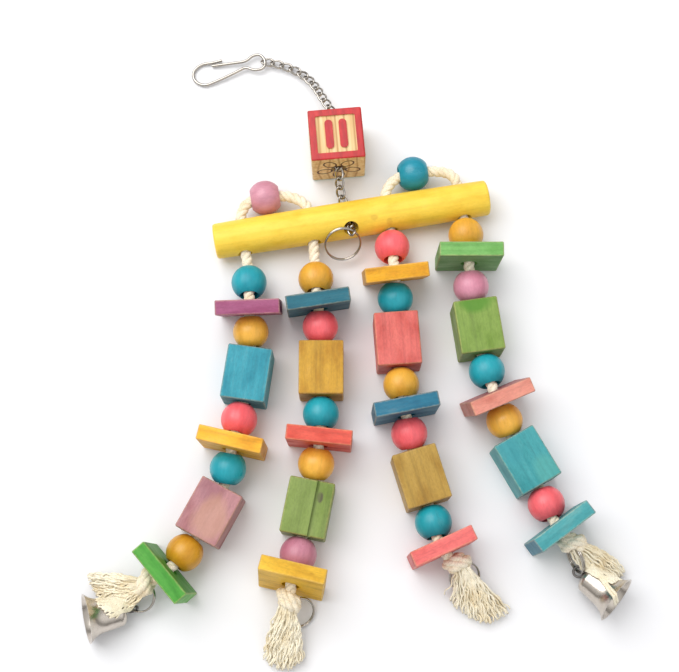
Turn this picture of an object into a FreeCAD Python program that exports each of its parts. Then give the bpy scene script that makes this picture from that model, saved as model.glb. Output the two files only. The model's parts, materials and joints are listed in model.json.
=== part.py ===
import FreeCAD, Part
import math
import os

from FreeCAD import Vector

# Hanging chew toy for birds, laid out flat on a surface.
# X runs to the right, Y runs from the tassels up to the snap hook, Z is up.
# Places are first given from the middle of the perch bar, on the surface,
# and the whole toy is centred on its own outline at the end.

# Perch bar
bar_length = 154.8
bar_end_radius = 9.8
bar_middle_radius = 10.4
bar_end_rounding = 1.6
bar_turn = 9.67            # how far the bar lies turned from the X axis, in degrees
rope_hole_diameter = 8.0
rope_hole_places = (-61.6, -22.8, 20.6, 62.3)
chain_hole_diameter = 8.4
chain_hole_place = -1.5
chain_hole_rise = 43.0     # slope of the chain hole, in degrees

# Rope
rope_diameter = 5.8
rope_follow = 0.7          # share of a tile's lean that the rope in its hole takes up
rope_in_tile_drop = 0.4    # the rope hangs this far under the middle of a tile's hole

# Beads
bead_diameter = 19.4
bead_bore = 9.8
bead_edge_rounding = 0.5
bead_hang = 0.3            # a bead hangs this far below the rope's middle line
bead_follow = 0.5          # share of the rope's slope that a bead takes up

# Square tiles
tile_side = 34.5
tile_thickness = 8.0
tile_bore = 9.6
tile_edge_rounding = 0.7

# Oblong blocks
block_width = 24.0
block_height = 23.0
block_length = 29.4
block_bore = 8.6
block_edge_rounding = 1.0
groove_width = 1.5
groove_depth = 1.6
groove_offset = 3.4

# Alphabet cube
cube_side = 30.0
cube_edge_rounding = 0.9
cube_bore = 8.6
cube_place = (-8.5, 43.4)
cube_heading = 5.0
cube_border = 4.0
cube_recess_depth = 0.9
cube_recess_rounding = 0.8
cube_figure_width = 4.4
cube_figure_length = 17.0
cube_figure_spacing = 7.8

# Chain
link_pitch = 5.5
link_wire = 1.4
link_width = 5.5
link_play = 0.6
chain_roll = 45.0          # neighbouring links lean this far to either side
chain_untwist = 9.0        # links over which the chain turns to suit the hook and the ring

# Snap hook
hook_wire = 1.7
hook_eye_place = (-55.6, 99.9)
hook_eye_height = 2.75

# Split rings, two turns of wire each
ring_wire = 1.0
ring_turn_pitch = 0.9
bar_ring_diameter = 20.6
end_ring_diameter = 17.2

# Bells
bell_rim_diameter = 26.0
bell_lip_thickness = 1.0
bell_wall = 0.8
bell_shoulder_radius = 7.6
bell_waist_radius = 8.6
bell_height = 20.0
bell_shoulder_length = 3.4
bell_eye_wire = 1.3
bell_eye_diameter = 6.8
bell_eye_reach = 3.9       # from the eye's middle to the crown
bell_inner_eye_wire = 1.0
bell_inner_eye_diameter = 4.2
clapper_ball_diameter = 6.0
clapper_wire = 0.9
clapper_loop_diameter = 3.9
clapper_mouth_inset = 1.5  # the ball stays this far inside the mouth

# Knots and tassels
knot_radius = 7.2
knot_length = 10.4

# Clearances
end_play = 0.38            # between neighbouring pieces on a rope
wire_play = 0.45           # round a ring that turns in a knot
knot_play = 0.5            # between a knot and the last tile
clapper_play = 0.15        # between the clapper's loop and the eye it hangs on
ring_on_bar_play = 0.6     # between the bar and the ring that keeps the chain from slipping through


def heading_vector(degrees, pitch=0.0):
    """Unit vector; heading 0 runs towards -Y, a positive one turns towards +X, pitch runs downhill."""
    turn = math.radians(degrees)
    fall = math.radians(pitch)
    return Vector(math.sin(turn) * math.cos(fall), -math.cos(turn) * math.cos(fall), -math.sin(fall))


def along_bar(place, outward=0.0, height=bar_middle_radius):
    """Point at a place along the bar, with outward measured away from the strands."""
    turn = math.radians(bar_turn)
    x = place * math.cos(turn) - outward * math.sin(turn)
    y = place * math.sin(turn) + outward * math.cos(turn)
    return Vector(x, y, height)


def placed(shape, centre, forward, roll=0.0):
    """Moves a shape made about the origin along +X so that +X points forward and +Z stays upward."""
    forward = Vector(forward).normalize()
    side = Vector(0, 0, 1).cross(forward).normalize()
    up = forward.cross(side)
    matrix = FreeCAD.Matrix(forward.x, side.x, up.x, centre.x,
                            forward.y, side.y, up.y, centre.y,
                            forward.z, side.z, up.z, centre.z,
                            0, 0, 0, 1)
    moved = shape.copy()
    moved.rotate(Vector(0, 0, 0), Vector(1, 0, 0), roll)
    moved.Placement = FreeCAD.Placement(matrix).multiply(moved.Placement)
    return moved


def rounded_path(points, fraction=0.45):
    """Straight runs joined by tangent arcs, each as large as its two runs allow."""
    edges = []
    radii = []
    start = points[0]
    for before, corner, after in zip(points, points[1:], points[2:]):
        run_in = corner - before
        run_out = after - corner
        half_turn = run_in.getAngle(run_out) / 2
        setback = fraction * min(run_in.Length, run_out.Length)
        radius = setback / math.tan(half_turn)
        radii.append(radius)
        entry = corner - Vector(run_in).normalize() * setback
        leave = corner + Vector(run_out).normalize() * setback
        inward = (Vector(run_out).normalize() - Vector(run_in).normalize()).normalize()
        middle = corner + inward * (radius / math.cos(half_turn) - radius)
        edges.append(Part.LineSegment(start, entry).toShape())
        edges.append(Part.Arc(entry, middle, leave).toShape())
        start = leave
    edges.append(Part.LineSegment(start, points[-1]).toShape())
    return Part.Wire(edges), radii


def tube(path, diameter):
    """Round solid along a path."""
    start = path.Edges[0].valueAt(path.Edges[0].FirstParameter)
    ahead = path.Edges[0].tangentAt(path.Edges[0].FirstParameter)
    section = Part.Wire(Part.makeCircle(diameter / 2, start, ahead))
    return path.makePipeShell([section], True, False)


def revolved(profile_edges, axis=Vector(1, 0, 0)):
    """Solid turned about the X axis from a closed outline."""
    face = Part.Face(Part.Wire(profile_edges))
    return face.revolve(Vector(0, 0, 0), axis, 360)


def bored(solid, diameter, reach):
    """Solid with a hole along the X axis through its middle."""
    drill = Part.makeCylinder(diameter / 2, 2 * reach, Vector(-reach, 0, 0), Vector(1, 0, 0))
    return solid.cut(drill)


def rims_at(solid, distance):
    """Edges that lie flat across the X axis at a distance to either side of the middle."""
    rims = []
    for edge in solid.Edges:
        box = edge.BoundBox
        if edge.Length > 1 and box.XLength < 0.01 and abs(abs(box.Center.x) - distance) < 0.01:
            rims.append(edge)
    return rims


# Pieces made about the origin, with their hole along X

def make_bead():
    """Round bead with a wide bore and softened hole edges."""
    radius = bead_diameter / 2
    bore = bead_bore / 2
    ease = bead_edge_rounding
    rim_y = bore + ease
    rim_x = math.sqrt(radius ** 2 - rim_y ** 2)
    wall_x = rim_x - ease
    ease_x = wall_x + ease * math.sin(math.radians(45))
    ease_y = bore + ease * (1 - math.cos(math.radians(45)))
    profile = [
        Part.LineSegment(Vector(-wall_x, bore, 0), Vector(wall_x, bore, 0)).toShape(),
        Part.Arc(Vector(wall_x, bore, 0), Vector(ease_x, ease_y, 0), Vector(rim_x, rim_y, 0)).toShape(),
        Part.Arc(Vector(rim_x, rim_y, 0), Vector(0, radius, 0), Vector(-rim_x, rim_y, 0)).toShape(),
        Part.Arc(Vector(-rim_x, rim_y, 0), Vector(-ease_x, ease_y, 0), Vector(-wall_x, bore, 0)).toShape(),
    ]
    return revolved(profile)


def make_tile():
    """Square tile with eased edges."""
    tile = Part.makeBox(tile_thickness, tile_side, tile_side,
                        Vector(-tile_thickness / 2, -tile_side / 2, -tile_side / 2))
    tile = tile.makeFillet(tile_edge_rounding, tile.Edges)
    return bored(tile, tile_bore, tile_thickness)


def make_block(grooved=False):
    """Oblong block with eased edges, bored end to end; one has a sawn groove in its top."""
    block = Part.makeBox(block_length, block_width, block_height,
                         Vector(-block_length / 2, -block_width / 2, -block_height / 2))
    block = block.makeFillet(block_edge_rounding, block.Edges)
    block = bored(block, block_bore, block_length)
    if grooved:
        groove = Part.makeBox(2 * block_length, groove_width, 2 * groove_depth,
                              Vector(-block_length, groove_offset - groove_width / 2,
                                     block_height / 2 - groove_depth))
        block = block.cut(groove)
    return block


def make_cube():
    """Alphabet cube: raised border and two raised bars on top, the same border underneath."""
    half = cube_side / 2
    cube = Part.makeBox(cube_side, cube_side, cube_side, Vector(-half, -half, -half))
    cube = cube.makeFillet(cube_edge_rounding, cube.Edges)
    inner = cube_side - 2 * cube_border
    for side in (1, -1):
        floor = side * (half - cube_recess_depth)
        lowest = floor if side > 0 else floor - 2 * cube_recess_depth
        corner = Vector(-inner / 2, -inner / 2, lowest)
        pocket = Part.makeBox(inner, inner, 2 * cube_recess_depth, corner)
        corners = [edge for edge in pocket.Edges if abs(edge.tangentAt(edge.FirstParameter).z) > 0.9]
        pocket = pocket.makeFillet(cube_recess_rounding, corners)
        cube = cube.cut(pocket)
    for offset in (-cube_figure_spacing / 2, cube_figure_spacing / 2):
        cube = cube.fuse(make_figure(offset, half))
    cube = bored(cube, cube_bore, cube_side)
    return cube.removeSplitter()


def make_figure(offset, top):
    """Raised bar with round ends on the floor of the cube's recess."""
    straight = cube_figure_length / 2 - cube_figure_width / 2
    radius = cube_figure_width / 2
    height = cube_recess_depth + 0.4
    bottom = top - height
    body = Part.makeBox(2 * straight, cube_figure_width, height, Vector(-straight, offset - radius, bottom))
    for end in (-straight, straight):
        body = body.fuse(Part.makeCylinder(radius, height, Vector(end, offset, bottom)))
    return body.removeSplitter()


def make_link():
    """Oval chain link lying in the XY plane, long along X."""
    bend = (link_width - link_wire) / 2
    straight = (link_pitch + link_play + link_wire) / 2 - bend
    loop = Part.Wire([
        Part.LineSegment(Vector(-straight, -bend, 0), Vector(straight, -bend, 0)).toShape(),
        Part.Arc(Vector(straight, -bend, 0),
                 Vector(straight + bend, 0, 0),
                 Vector(straight, bend, 0)).toShape(),
        Part.LineSegment(Vector(straight, bend, 0), Vector(-straight, bend, 0)).toShape(),
        Part.Arc(Vector(-straight, bend, 0),
                 Vector(-straight - bend, 0, 0),
                 Vector(-straight, -bend, 0)).toShape(),
    ])
    return tube(loop, link_wire)


def make_ring(diameter):
    """Split ring of two close turns, its axis along Z."""
    mean = (diameter - ring_wire) / 2
    lower = Part.makeTorus(mean, ring_wire / 2, Vector(0, 0, -ring_turn_pitch / 2))
    upper = Part.makeTorus(mean, ring_wire / 2, Vector(0, 0, ring_turn_pitch / 2))
    return lower.fuse(upper)


def ring_channel(diameter):
    """Room that a ring turning about its own axis needs in a knot."""
    mean = (diameter - ring_wire) / 2
    reach = ring_wire / 2 + wire_play
    half = ring_turn_pitch / 2 + reach
    outer = Part.makeCylinder(mean + reach, 2 * half, Vector(0, 0, -half))
    inner = Part.makeCylinder(mean - reach, 2 * half, Vector(0, 0, -half))
    return outer.cut(inner)


def make_bell():
    """Thin bell turned about X: shoulder at x = 0, open mouth at x = bell_height."""
    rim = bell_rim_diameter / 2
    shoulder_start = bell_shoulder_radius * 0.45
    waist_x = bell_height * 0.55
    outer = [
        Part.LineSegment(Vector(0, 0, 0), Vector(0, shoulder_start, 0)).toShape(),
        Part.Arc(Vector(0, shoulder_start, 0),
                 Vector(0.8, bell_shoulder_radius - 1.0, 0),
                 Vector(bell_shoulder_length, bell_shoulder_radius, 0)).toShape(),
        Part.LineSegment(Vector(bell_shoulder_length, bell_shoulder_radius, 0),
                         Vector(waist_x, bell_waist_radius, 0)).toShape(),
        Part.Arc(Vector(waist_x, bell_waist_radius, 0),
                 Vector(bell_height - 4.0, (bell_waist_radius + rim) / 2 - 0.9, 0),
                 Vector(bell_height, rim, 0)).toShape(),
    ]
    lip = bell_lip_thickness
    wall = bell_wall
    inner = [
        Part.LineSegment(Vector(bell_height, rim, 0), Vector(bell_height, rim - lip, 0)).toShape(),
        Part.Arc(Vector(bell_height, rim - lip, 0),
                 Vector(bell_height - 4.0, (bell_waist_radius + rim) / 2 - 0.9 - wall, 0),
                 Vector(waist_x, bell_waist_radius - wall, 0)).toShape(),
        Part.LineSegment(Vector(waist_x, bell_waist_radius - wall, 0),
                         Vector(bell_shoulder_length, bell_shoulder_radius - wall, 0)).toShape(),
        Part.Arc(Vector(bell_shoulder_length, bell_shoulder_radius - wall, 0),
                 Vector(0.8 + wall * 0.7, bell_shoulder_radius - 1.0 - wall * 0.7, 0),
                 Vector(wall, shoulder_start, 0)).toShape(),
        Part.LineSegment(Vector(wall, shoulder_start, 0), Vector(wall, 0, 0)).toShape(),
        Part.LineSegment(Vector(wall, 0, 0), Vector(0, 0, 0)).toShape(),
    ]
    shell = revolved(outer + inner)
    drill = Part.makeCylinder(bell_eye_wire / 2, 4 * wall, Vector(-wall, 0, 0), Vector(1, 0, 0))
    return shell.cut(drill)


def make_bell_eye():
    """Wire through the crown: a ring outside to hang the bell, a small ring inside for the clapper."""
    loop = (bell_eye_diameter - bell_eye_wire) / 2
    inner_loop = (bell_inner_eye_diameter - bell_inner_eye_wire) / 2
    outside = Part.makeTorus(loop, bell_eye_wire / 2, Vector(-bell_eye_reach, 0, 0), Vector(0, 1, 0))
    inner_middle = Vector(bell_inner_eye_place, 0, 0)
    inside = Part.makeTorus(inner_loop, bell_inner_eye_wire / 2, inner_middle, Vector(0, 1, 0))
    start = loop - bell_eye_reach
    stem = Part.makeCylinder(bell_eye_wire / 2, bell_wall + bell_inner_eye_wire - start,
                             Vector(start, 0, 0), Vector(1, 0, 0))
    return outside.fuse([stem, inside])


bell_inner_eye_place = bell_wall + bell_inner_eye_diameter / 2 + 0.2
bell_clapper_pivot = (bell_inner_eye_place + bell_inner_eye_diameter / 2 - bell_inner_eye_wire
                      + clapper_loop_diameter / 2 - clapper_wire - clapper_play)


def make_clapper():
    """Clapper about its loop: a short wire and a ball, hanging along +X."""
    loop_mean = (clapper_loop_diameter - clapper_wire) / 2
    reach = bell_height - bell_clapper_pivot - clapper_ball_diameter / 2 - clapper_mouth_inset
    loop = Part.makeTorus(loop_mean, clapper_wire / 2, Vector(0, 0, 0), Vector(0, 0, 1))
    wire = Part.makeCylinder(clapper_wire / 2, reach - loop_mean, Vector(loop_mean, 0, 0), Vector(1, 0, 0))
    ball = Part.makeSphere(clapper_ball_diameter / 2, Vector(reach, 0, 0))
    return loop.fuse([wire, ball])


def make_bar():
    """Perch bar, a little thicker in the middle, with its rope and chain holes."""
    half = bar_length / 2
    end = bar_end_radius
    profile = [
        Part.LineSegment(Vector(-half, 0, 0), Vector(-half, end, 0)).toShape(),
        Part.Arc(Vector(-half, end, 0), Vector(0, bar_middle_radius, 0), Vector(half, end, 0)).toShape(),
        Part.LineSegment(Vector(half, end, 0), Vector(half, 0, 0)).toShape(),
        Part.LineSegment(Vector(half, 0, 0), Vector(-half, 0, 0)).toShape(),
    ]
    bar = revolved(profile)
    bar = bar.makeFillet(bar_end_rounding, rims_at(bar, half))
    reach = 2 * bar_middle_radius
    for place in rope_hole_places:
        hole_start = Vector(place, -reach, 0)
        bar = bar.cut(Part.makeCylinder(rope_hole_diameter / 2, 2 * reach, hole_start, Vector(0, 1, 0)))
    rise = math.radians(chain_hole_rise)
    way = Vector(0, -math.cos(rise), math.sin(rise))
    start = Vector(chain_hole_place, 0, 0) - way * reach
    bar = bar.cut(Part.makeCylinder(chain_hole_diameter / 2, 2 * reach, start, way))
    bar.rotate(Vector(0, 0, 0), Vector(0, 0, 1), bar_turn)
    bar.translate(Vector(0, 0, bar_middle_radius))
    return bar


# How each strand lies: the way from its hole to the first bead, then tiles and blocks in order.
# Each gives its kind, the heading of the step to the bead before it and of the step on to itself,
# its own heading, its lean, and the rope left bare before that bead and before itself.
# A tile's lean tips its top towards the tassels.
strands = {
    1: {"hole": 0, "lead": (8.8, 27.4), "first_height": 12.6, "pieces": [
        ("tile", 0, 3, 2, 13.5, 0.0, 0.0), ("block", 2, -4, -8, 0, 0.0, 0.0),
        ("tile", -9, -12, -13, 1, 0.0, 0.0), ("block", -13, -21, -28, 0, 0.0, 0.0),
        ("tile", -33, -38, -49, 3, 0.0, 0.0)]},
    2: {"hole": 1, "lead": (5.0, 31.6), "first_height": 12.6, "pieces": [
        ("tile", 0, 5, 9, 8, 0.0, 0.0), ("block", 8, -2, 0, 0, 0.0, 0.0),
        ("tile", 2, -4, -6, 2, 0.0, 0.0), ("block", -9, -10, -11, 0, 0.0, 0.0),
        ("tile", -14, -10, -13, -13, 0.0, 0.0)]},
    3: {"hole": 2, "lead": (6.0, 20.4), "first_height": 12.4, "pieces": [
        ("tile", 0, 4, 7, 14, 0.0, 1.2), ("block", 3, 0, 4, 0, 0.0, 0.0),
        ("tile", 7, 4, 11, 2, 0.0, 0.0), ("block", 11, 14, 17, 0, 0.0, 0.0),
        ("tile", 18, 12, 24, 0, 0.0, 0.0)]},
    4: {"hole": 3, "lead": (6.0, 20.4), "first_height": 12.4, "pieces": [
        ("tile", 0, 3, 0, 3, 0.0, 0.0), ("block", 7, 5, 8, 0, 3.0, 0.0),
        ("tile", 11, 14, 23, 10, 0.0, 0.8), ("block", 18, 29, 29.5, 0, 0.0, 0.0),
        ("tile", 28, 20, 36, 0, 0.0, 0.0)]},
}

# The first tiles of these two strands lie edge to edge and stop each other from turning on
close_pair = (1, 2)
close_pair_turn = 3.0


def flat_half(kind):
    """Half length of a flat-ended piece along its hole."""
    if kind == "tile":
        return tile_thickness / 2
    return block_length / 2


def bead_half():
    """Half length of a bead along its hole."""
    return math.sqrt((bead_diameter / 2) ** 2 - (bead_bore / 2) ** 2)


def tile_centre_height(lean):
    """Height of a leaning tile's middle when its lower edge rests on the surface."""
    tip = math.radians(abs(lean))
    return tile_side / 2 * math.cos(tip) + tile_thickness / 2 * math.sin(tip)


def bead_reach(bead_axis, flat_axis):
    """How far a bored bead reaches from its middle towards a flat face."""
    radius = bead_diameter / 2
    rim_angle = math.asin(bead_bore / 2 / radius)
    angle = bead_axis.getAngle(flat_axis)
    angle = min(angle, math.pi - angle)
    return radius * math.cos(max(0.0, rim_angle - angle))


def stepped(start, heading, height, flat_axis, need):
    """Point at a height, along a heading, that lies a needed distance from start across a flat face."""
    way = heading_vector(heading)
    rise = height - start.z
    distance = (need - rise * flat_axis.z) / way.dot(flat_axis)
    there = start + way * distance
    return Vector(there.x, there.y, height)


def make_flat(kind, centre, heading, lean):
    """A tile or block as laid, with the rope's points at its two faces."""
    half = flat_half(kind)
    axis = heading_vector(heading, lean if kind == "tile" else 0.0)
    drop = rope_in_tile_drop if kind == "tile" else 0.0
    slope = Vector(axis.x, axis.y, axis.z * rope_follow)
    back = centre - slope * half - Vector(0, 0, drop)
    front = centre + slope * half - Vector(0, 0, drop)
    return {"kind": kind, "centre": centre, "axis": axis, "back": back, "front": front}


def flat_height(kind, lean):
    """Height of a tile's or a block's middle."""
    return tile_centre_height(lean) if kind == "tile" else block_height / 2


def eased(way):
    """Direction of a bead on a rope that slopes a given way."""
    return Vector(way.x, way.y, way.z * bead_follow).normalize()


def between(last, flat):
    """Bead between two flat pieces on its rope, with the room left at its two sides."""
    axis = eased(flat["back"] - last["front"])
    middle = (flat["back"] + last["front"]) * 0.5 - Vector(0, 0, bead_hang)
    room_before = (middle - last["centre"]).dot(last["axis"]) - flat_half(last["kind"])
    room_before -= bead_reach(axis, last["axis"])
    room_after = (flat["centre"] - middle).dot(flat["axis"]) - flat_half(flat["kind"])
    room_after -= bead_reach(axis, flat["axis"])
    return axis, middle, room_before, room_after


def lay_strand(spec):
    """Places the pieces of one strand, from the bar to the last tile."""
    hole = along_bar(rope_hole_places[spec["hole"]])
    lead_heading, lead_length = spec["lead"]
    first = hole + heading_vector(lead_heading) * lead_length
    first.z = spec["first_height"]
    laid = []
    last = None
    for kind, bead_step, step, heading, lean, bead_bare, bare in spec["pieces"]:
        height = flat_height(kind, lean)
        flat = make_flat(kind, Vector(0, 0, height), heading, lean)
        if last is None:
            axis = heading_vector(step)
            for attempt in range(3):
                need = flat_half(kind) + bead_reach(axis, flat["axis"]) + end_play + bare
                flat = make_flat(kind, stepped(first, step, height, flat["axis"], need), heading, lean)
                axis = eased(flat["back"] - Vector(first.x, first.y, first.z + bead_hang))
            laid.append({"kind": "bead", "centre": first, "axis": axis})
            laid.append(flat)
            last = flat
            continue
        way = heading_vector((bead_step + step) / 2)
        room = bead_diameter + flat_half(last["kind"]) + flat_half(kind)
        centre = last["centre"] + way * room
        flat = make_flat(kind, Vector(centre.x, centre.y, height), heading, lean)
        for attempt in range(5):
            axis, middle, before, after = between(last, flat)
            lack = 2 * end_play + bead_bare + bare - before - after
            centre = flat["centre"] + way * lack
            flat = make_flat(kind, centre, heading, lean)
        axis, middle, before, after = between(last, flat)
        middle = middle + axis * ((after - before + bead_bare - bare) / 2)
        laid.append({"kind": "bead", "centre": middle, "axis": axis})
        laid.append(flat)
        last = flat
    return laid


laid_strands = {number: lay_strand(spec) for number, spec in strands.items()}

# Loops of rope behind the bar, each through one bead; bends given along and out from the bar
loop_bead_places = {"left": (-45.7, 21.0), "right": (38.8, 21.2)}
loop_bends = {
    "left": [(-61.3, 12.4), (-55.7, 20.8), (-36.0, 21.2), (-23.3, 14.2)],
    "right": [(20.9, 12.8), (29.2, 21.0), (48.4, 21.4), (62.0, 17.0)],
}
loop_height = 10.6
loop_bead_hang = 0.9        # a loop bead hangs this far below the rope's middle line
hole_straight = 4.2        # the rope runs straight in a hole beyond this distance from the bar's middle


def loop_route(side, first_hole, second_hole):
    """Rope route from one hole through the loop bead to the next hole."""
    start = along_bar(rope_hole_places[first_hole], hole_straight)
    end = along_bar(rope_hole_places[second_hole], hole_straight)
    return [start] + [along_bar(along, out, loop_height) for along, out in loop_bends[side]] + [end]


# Rope ends: heading of the knot, how far it sags, the end of the tassel and its spread in width and height
ends = {
    1: {"heading": -66.0, "sag": 2.6, "tip": (-138.0, -196.0), "spread": (17.0, 8.0)},
    2: {"heading": -9.0, "sag": 2.6, "tip": (-37.0, -245.5), "spread": (20.0, 8.0)},
    3: {"heading": 48.0, "sag": 3.0, "tip": (72.5, -218.5), "spread": (22.0, 8.0)},
    4: {"heading": 46.0, "sag": 3.0, "tip": (143.5, -190.0), "spread": (10.0, 8.0)},
}


def knot_outline_radius(place):
    """Radius of a knot at a place along it."""
    neck = rope_diameter / 2
    return neck + (knot_radius - neck) * (1 - (2 * place / knot_length) ** 2)


def knot_reach(angle):
    """How far a knot reaches from its middle in a direction at an angle to its own length."""
    places = [knot_length * (step / 40 - 0.5) for step in range(41)]
    return max(x * math.cos(angle) + knot_outline_radius(x) * math.sin(angle) for x in places)


def knot_centre(number):
    """Middle of the knot that keeps a strand's last tile on."""
    tile = laid_strands[number][-1]
    end = ends[number]
    way = heading_vector(end["heading"])
    need = tile_thickness / 2 + knot_play + knot_reach(way.getAngle(tile["axis"]))
    return stepped(tile["centre"], end["heading"], tile["front"].z - end["sag"], tile["axis"], need)


def strand_route(number):
    """Rope points from the bar's front mouth to the knot of one strand."""
    hole = rope_hole_places[strands[number]["hole"]]
    laid = laid_strands[number]
    first = laid[0]
    through = first["centre"] + Vector(0, 0, bead_hang)
    entry = through + (through - laid[1]["back"]).normalize() * (bead_half() + 0.4)
    mouth = along_bar(hole, -hole_straight)
    points = [mouth, entry]
    for piece in laid[1::2]:
        points.append(piece["back"])
        points.append(piece["front"])
    points.append(knot_centre(number))
    return points


def whole_route(left, right, side):
    """Route of one rope, from the knot of one strand to the knot of its neighbour."""
    first_hole = strands[left]["hole"]
    second_hole = strands[right]["hole"]
    loop = loop_route(side, first_hole, second_hole)
    return list(reversed(strand_route(left))) + loop + strand_route(right)


def make_knot(number):
    """Barrel-shaped stopper knot at the end of a strand."""
    half = knot_length / 2
    neck = rope_diameter / 2
    profile = [
        Part.LineSegment(Vector(-half, 0, 0), Vector(-half, neck, 0)).toShape(),
        Part.Arc(Vector(-half, neck, 0), Vector(0, knot_radius, 0), Vector(half, neck, 0)).toShape(),
        Part.LineSegment(Vector(half, neck, 0), Vector(half, 0, 0)).toShape(),
        Part.LineSegment(Vector(half, 0, 0), Vector(-half, 0, 0)).toShape(),
    ]
    return placed(revolved(profile), knot_centre(number), heading_vector(ends[number]["heading"]))


def oval(centre, forward, width, height):
    """Upright oval section across a tassel."""
    ellipse = Part.Ellipse(Vector(0, 0, 0), max(width, height) / 2, min(width, height) / 2)
    wire = Part.Wire(ellipse.toShape())
    wire.rotate(Vector(0, 0, 0), Vector(0, 1, 0), 90)
    wire.rotate(Vector(0, 0, 0), Vector(1, 0, 0), 90)
    return placed(wire, centre, forward)


def make_tassel(number):
    """Frayed rope end, spreading flat from the knot to its tip."""
    end = ends[number]
    root = knot_centre(number)
    tip = Vector(end["tip"][0], end["tip"][1], root.z)
    forward = Vector(tip - root).normalize()
    width, height = end["spread"]
    sections = []
    low = height * 0.4 + 0.3
    for share, wide, high, lift in ((0.12, 8.5, 7.0, root.z - 1.0),
                                    (0.4, width * 0.7, height * 0.9, root.z * 0.45 + low * 0.55),
                                    (0.72, width * 0.9, height * 0.9, low + 0.9),
                                    (1.0, width, height * 0.8, low)):
        place = root * (1 - share) + tip * share
        sections.append(oval(Vector(place.x, place.y, lift), forward, wide, high))
    return Part.makeLoft(sections, True, False)


# Rings at the knots: heading from the knot, heights where the ring crosses the knot and at its far side,
# how far from the knot's middle it crosses, and how upright it stands
end_rings = {
    1: {"heading": -32.0, "near": 9.6, "far": 5.2, "cross": 0.5, "stand": 8.0},
    2: {"heading": 38.0, "near": 9.6, "far": 1.1, "cross": 1.0, "stand": 0.0},
    3: {"heading": 34.0, "near": 9.4, "far": 1.1, "cross": 1.0, "stand": 0.0},
    4: {"heading": 16.0, "near": 12.6, "far": 5.2, "cross": 0.5, "stand": 78.0},
}


def ring_frame(number):
    """Middle of an end ring, its axis, and the point of its wire farthest from the knot."""
    spec = end_rings[number]
    knot = knot_centre(number)
    mean = (end_ring_diameter - ring_wire) / 2
    fall = (spec["near"] - spec["far"]) / 2
    pitch = math.degrees(math.asin(fall / mean))
    chord = heading_vector(spec["heading"], pitch)
    level = heading_vector(spec["heading"])
    near = Vector(knot.x, knot.y, spec["near"]) + level * spec["cross"]
    centre = near + chord * mean
    side = Vector(0, 0, 1).cross(level)
    over = chord.cross(side)
    stand = math.radians(spec["stand"])
    across = side * math.cos(stand) + over * math.sin(stand)
    return centre, chord.cross(across).normalize(), centre + chord * mean


def oriented(shape, centre, axis):
    """Moves a shape made about the origin so that its Z axis points along axis."""
    turn = FreeCAD.Rotation(Vector(0, 0, 1), Vector(axis))
    moved = shape.copy()
    moved.Placement = FreeCAD.Placement(centre, turn).multiply(moved.Placement)
    return moved


# Bells: heading of each mouth
bell_headings = {1: -77.0, 4: 50.0}

# Bells: the way each can swing on its ring, as the ring leaves room, and how far in degrees
bell_swings = {1: ("lift", (0, 50)), 4: ("sideways", (-20, 5))}


def bell_frame(number):
    """Crown of a bell that lies on the surface, the way its mouth points, and its eye's roll."""
    ring_middle, ring_axis, hang = ring_frame(number)
    rim = bell_rim_diameter / 2
    tilt = math.degrees(math.atan2(rim - bell_shoulder_radius, bell_height - bell_shoulder_length))
    way = heading_vector(bell_headings[number], -tilt)
    crown = hang + way * bell_eye_reach
    tangent = ring_axis.cross(hang - ring_middle)
    tangent = (tangent - way * tangent.dot(way)).normalize()
    side = Vector(0, 0, 1).cross(way).normalize()
    up = way.cross(side)
    roll = math.degrees(math.atan2(tangent.dot(up), tangent.dot(side)))
    return hang, crown, way, roll


parts = {}
joints = []


def add(name, shape, body="root"):
    if shape.ShapeType == "Compound" and len(shape.Solids) == 1:
        shape = shape.Solids[0]
    parts[name] = {"shape": shape, "body": body}


def add_joint(name, body, parent, kind, axis, origin, limits=None):
    joints.append({"name": name, "body": body, "parent": parent, "kind": kind,
                   "axis": Vector(axis).normalize(), "origin": Vector(origin), "limits": limits})


def build():
    add("perch_bar", make_bar())
    build_strands()
    build_loop_beads()
    build_ropes()
    build_cube_and_chain()
    build_hook()
    build_rings()
    build_bells()


def build_strands():
    for number in sorted(strands):
        order = {"bead": 0, "tile": 0, "block": 0}
        for piece in laid_strands[number]:
            kind = piece["kind"]
            order[kind] += 1
            name = "strand_%d_%s_%d" % (number, kind, order[kind])
            if kind == "bead":
                shape = make_bead()
            elif kind == "tile":
                shape = make_tile()
            else:
                shape = make_block(grooved=(number == 2 and order[kind] == 2))
            add(name, placed(shape, piece["centre"], piece["axis"]), name)
            if kind == "tile" and order[kind] == 1 and number in close_pair:
                limits = (-close_pair_turn, close_pair_turn)
                add_joint(name + "_turn", name, "root", "hinge", piece["axis"], piece["centre"], limits)
            else:
                add_joint(name + "_spin", name, "root", "spin", piece["axis"], piece["centre"])


def build_loop_beads():
    for side, (place, outward) in loop_bead_places.items():
        centre = along_bar(place, outward, loop_height - loop_bead_hang)
        axis = along_bar(1, 0) - along_bar(0, 0)
        name = "loop_bead_" + side
        add(name, placed(make_bead(), centre, axis), name)
        add_joint(name + "_spin", name, "root", "spin", axis, centre)


def build_ropes():
    for name, left, right, side in (("rope_left", 1, 2, "left"), ("rope_right", 3, 4, "right")):
        path, radii = rounded_path(whole_route(left, right, side))
        rope = tube(path, rope_diameter)
        expected = math.pi * rope_diameter ** 2 / 4 * path.Length
        print(name, "length %.1f" % path.Length, "volume %.1f of %.1f" % (rope.Volume, expected))
        print("  bend radii", " ".join("%.0f" % r for r in radii))
        solids = [make_knot(left), make_knot(right), make_tassel(left), make_tassel(right)]
        rope = rope.fuse(solids)
        for number in (left, right):
            centre, axis, far = ring_frame(number)
            rope = rope.cut(oriented(ring_channel(end_ring_diameter), centre, axis))
        largest = sorted(rope.Solids, key=lambda s: -s.Volume)
        print("  solids", [round(s.Volume, 1) for s in largest])
        add(name, largest[0])


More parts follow.
